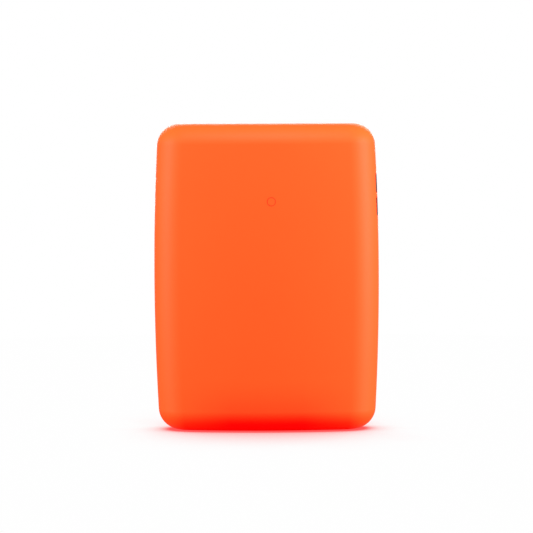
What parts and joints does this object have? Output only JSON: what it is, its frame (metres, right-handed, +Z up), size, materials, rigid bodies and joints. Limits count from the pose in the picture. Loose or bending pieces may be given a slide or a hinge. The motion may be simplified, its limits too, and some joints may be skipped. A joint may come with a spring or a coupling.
{
  "type": "power bank",
  "caption": "Hand-sized rechargeable power bank in a crowned orange two-part case, with USB-C sockets in one side and a push button with charge lights on top.",
  "frame": {"origin": "middle of the short end it stands on", "axes": "+Z up along the long side, -Y out of the crowned front face, +X towards the side with the sockets"},
  "size_m": [0.1, 0.03, 0.136],
  "materials": {
    "case_orange": "soft-touch matt, fine bead-blast texture",
    "button_orange": "satin",
    "soft_plug_orange": "matt",
    "black_rubber": "matt",
    "dark_sheet_steel": "dark plated",
    "black_moulding": "moulded",
    "gold_contact": "plated",
    "white_moulding": "moulded",
    "clear_moulding": "frosted",
    "lamp_white": "gloss",
    "green_board": "solder mask",
    "zinc_steel": "bright zinc",
    "turned_brass": "turned",
    "ferrite": "matt",
    "chip_black": "moulded",
    "ceramic_tan": "fired",
    "shunt_copper": "bare",
    "capacitor_can": "satin",
    "thermal_grey": "matt",
    "plain_aluminium": "extruded",
    "cell_steel": "nickel plated",
    "cell_sleeve": "shrink film",
    "washer_paper": "plain",
    "nickel": "bright",
    "foam_grey": "closed-cell foam",
    "wire_black": "silicone",
    "wire_red": "silicone",
    "bead_black": "epoxy"
  },
  "bodies": {
    "case": {"battery_plug": "white_moulding", "battery_socket": "white_moulding", "battery_wire_negative": "wire_black", "battery_wire_positive": "wire_red", "board_screws": "zinc_steel", "boost_inductor": "ferrite", "bottom_bumper": "foam_grey", "case_screws": "zinc_steel", "case_seal": "black_rubber", "cell_1": "cell_steel", "cell_2": "cell_steel", "cell_3": "cell_steel", "cell_4": "cell_steel", "cell_holder_lower": "white_moulding", "cell_holder_upper": "white_moulding", "cell_washers": "washer_paper", "cell_wrap_1": "cell_sleeve", "cell_wrap_2": "cell_sleeve", "cell_wrap_3": "cell_sleeve", "cell_wrap_4": "cell_sleeve", "ceramic_capacitors": "ceramic_tan", "charger_chip": "chip_black", "chip_resistors": "chip_black", "controller_chip": "chip_black", "current_shunt": "shunt_copper", "foam_pads_front": "foam_grey", "foam_strips_rear": "foam_grey", "front_shell": "case_orange", "heat_spreader": "plain_aluminium", "indicator_leds": "lamp_white", "input_inductor": "ferrite", "light_pipe": "clear_moulding", "main_board": "green_board", "nickel_strip_negative": "nickel", "nickel_strip_positive": "nickel", "polymer_capacitors": "capacitor_can", "port_lip_lower": "black_rubber", "port_lip_upper": "black_rubber", "power_transistors": "chip_black", "protection_chip": "chip_black", "rear_cover": "case_orange", "screw_plugs": "soft_plug_orange", "switch_body": "black_moulding", "thermal_pad": "thermal_grey", "thermistor": "bead_black", "thermistor_leads": "wire_black", "thermistor_socket": "white_moulding", "threaded_inserts": "turned_brass", "usb_contacts_lower": "gold_contact", "usb_contacts_upper": "gold_contact", "usb_shell_lower": "dark_sheet_steel", "usb_shell_upper": "dark_sheet_steel", "usb_tongue_lower": "black_moulding", "usb_tongue_upper": "black_moulding"},
    "button": {"power_button": "button_orange"},
    "plunger": {"switch_plunger": "white_moulding"}
  },
  "joints": [
    {"name": "button_press", "type": "slide", "parent": "case", "child": "button", "axis": [0, 0, -1], "range_m": [0, 0.0003], "stiffness_N_per_m": 600, "springref_m": -0.0005},
    {"name": "plunger_press", "type": "slide", "parent": "case", "child": "plunger", "axis": [0, 0, -1], "range_m": [0, 0.0003]}
  ],
  "couplings": [
    {"joint": "plunger_press", "follows": "button_press", "ratio": 1}
  ]
}
